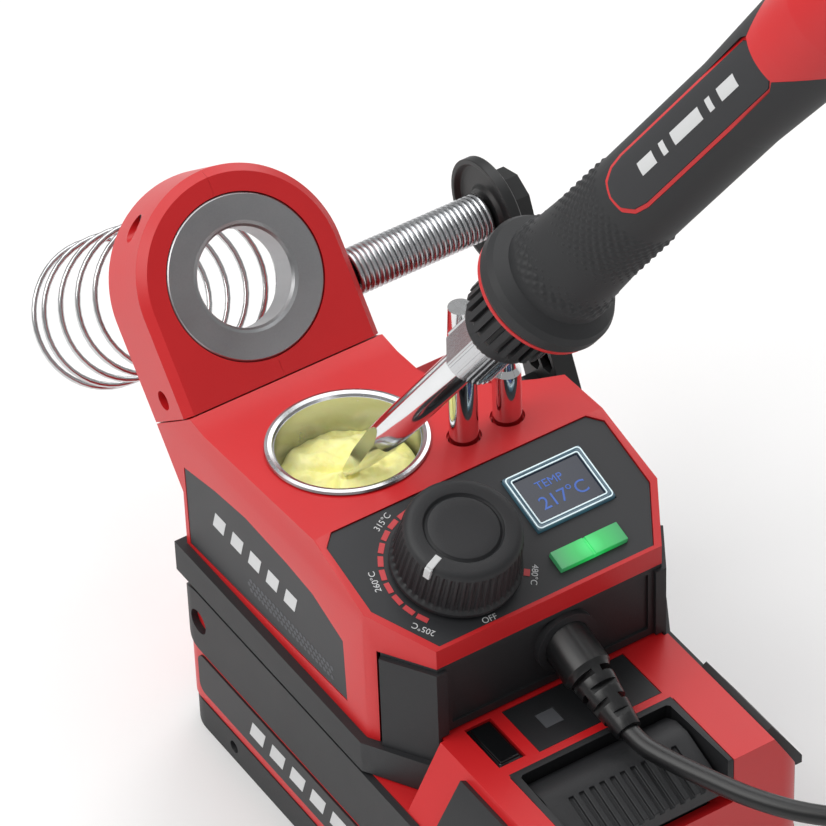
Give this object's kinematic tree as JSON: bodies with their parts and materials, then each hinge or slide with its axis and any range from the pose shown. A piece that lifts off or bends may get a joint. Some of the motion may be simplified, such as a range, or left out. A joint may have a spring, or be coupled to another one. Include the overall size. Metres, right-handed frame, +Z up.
{
  "type": "soldering iron station",
  "caption": "Battery-powered soldering station: sloping dial panel, cleaning cup, spring iron rest, solder spool, spare tips and a corded iron held with its tip in the sponge.",
  "frame": {"origin": "centre of the battery pack's flat bottom face", "axes": "+Z up from the bench, -Y towards the user at the dial and cord side, +X to the user's right at the solder spool side"},
  "size_m": [0.1836, 0.2707, 0.2927],
  "materials": {
    "black_plastic": "fine-textured moulded plastic",
    "red_plastic": "satin moulded plastic",
    "label_film": "printed film",
    "cell_wrap": "shrink wrap over steel cells",
    "circuit_green": "solder mask",
    "brass": "stamped strip",
    "screw_steel": "zinc plated",
    "gloss_black": "glossy",
    "dark_film": "smoked window",
    "panel_film": "matt printed panel",
    "red_print": "print",
    "display_clear": "clear plastic",
    "display_blue": "liquid crystal display",
    "green_lens": "translucent",
    "brushed_steel": "brushed",
    "yellow_sponge": "cellulose sponge",
    "chrome": "polished plating",
    "solder_tin": "drawn solder wire",
    "black_rubber": "soft-touch elastomer",
    "ceramic": "sintered",
    "cord_rubber": "smooth flexible jacket"
  },
  "bodies": {
    "battery": {"pack_tray": "black_plastic", "pack_case": "red_plastic", "pack_guards": "black_plastic", "pack_side_plates": "label_film", "pack_cells": "cell_wrap", "pack_board": "circuit_green", "pack_contacts": "brass", "pack_screws": "screw_steel", "level_window": "dark_film"},
    "latch": {"pack_latch": "black_plastic"},
    "level_button": {"level_button": "gloss_black"},
    "station": {"lower_housing": "black_plastic", "upper_housing": "red_plastic", "dock_contacts": "brass", "station_screws": "screw_steel", "control_panel": "panel_film", "panel_marks": "red_print", "side_plates": "label_film", "control_board": "circuit_green", "potentiometer": "screw_steel", "display_frame": "display_clear", "display_glass": "display_blue", "status_lens": "green_lens", "cleaning_cup": "brushed_steel", "cleaning_sponge": "yellow_sponge", "rest_left_shell": "red_plastic", "rest_right_shell": "red_plastic", "rest_ring": "brushed_steel", "rest_spring": "chrome", "rest_screws": "screw_steel", "spool_axle": "black_plastic", "spool_arm": "black_plastic", "station_gland": "black_rubber", "cord_lead": "cord_rubber", "cord_coil": "cord_rubber"},
    "dial": {"dial_knob": "black_plastic"},
    "spare_tip_1": {"spare_tip_chisel": "chrome"},
    "spare_tip_2": {"spare_tip_bevel": "chrome"},
    "solder_spool": {"spool_core": "black_plastic", "solder_winding": "solder_tin"},
    "iron": {"iron_tip": "chrome", "heating_rod": "ceramic", "iron_collar": "black_plastic", "accent_ring": "red_plastic", "iron_grip": "black_rubber", "iron_shell": "red_plastic", "iron_badge": "label_film", "iron_gland": "black_rubber", "cord_tail": "cord_rubber"},
    "nut": {"tip_nut": "chrome"}
  },
  "joints": [
    {"name": "station_release", "type": "slide", "parent": "battery", "child": "station", "axis": [0, 1, 0], "range_m": [0, 0.092]},
    {"name": "latch_press", "type": "slide", "parent": "battery", "child": "latch", "axis": [0, 0, -1], "range_m": [0, 0.0025], "stiffness_N_per_m": 900},
    {"name": "level_button_press", "type": "slide", "parent": "battery", "child": "level_button", "axis": [0, 0, -1], "range_m": [0, 0.0008], "stiffness_N_per_m": 600},
    {"name": "dial_turn", "type": "hinge", "parent": "station", "child": "dial", "pos_m": [-0.0125, -0.00947, 0.0855], "axis": [0, -0.284, 0.9588], "range_deg": [-235, 69]},
    {"name": "spare_tip_1_lift", "type": "slide", "parent": "station", "child": "spare_tip_1", "axis": [0, 0, 1], "range_m": [0, 0.045]},
    {"name": "spare_tip_2_lift", "type": "slide", "parent": "station", "child": "spare_tip_2", "axis": [0, 0, 1], "range_m": [0, 0.045]},
    {"name": "spool_spin", "type": "hinge", "parent": "station", "child": "solder_spool", "pos_m": [0.03, 0.0714, 0.0932], "axis": [1, 0, 0], "continuous": true},
    {"name": "iron_lift", "type": "slide", "parent": "station", "child": "iron", "axis": [0.3165, -0.48, 0.8181], "range_m": [0, 0.06]},
    {"name": "tip_nut_turn", "type": "hinge", "parent": "iron", "child": "nut", "pos_m": [0.00251, 0.0022, 0.1276], "axis": [0.3165, -0.48, 0.8181], "range_deg": [-360, 0]}
  ]
}
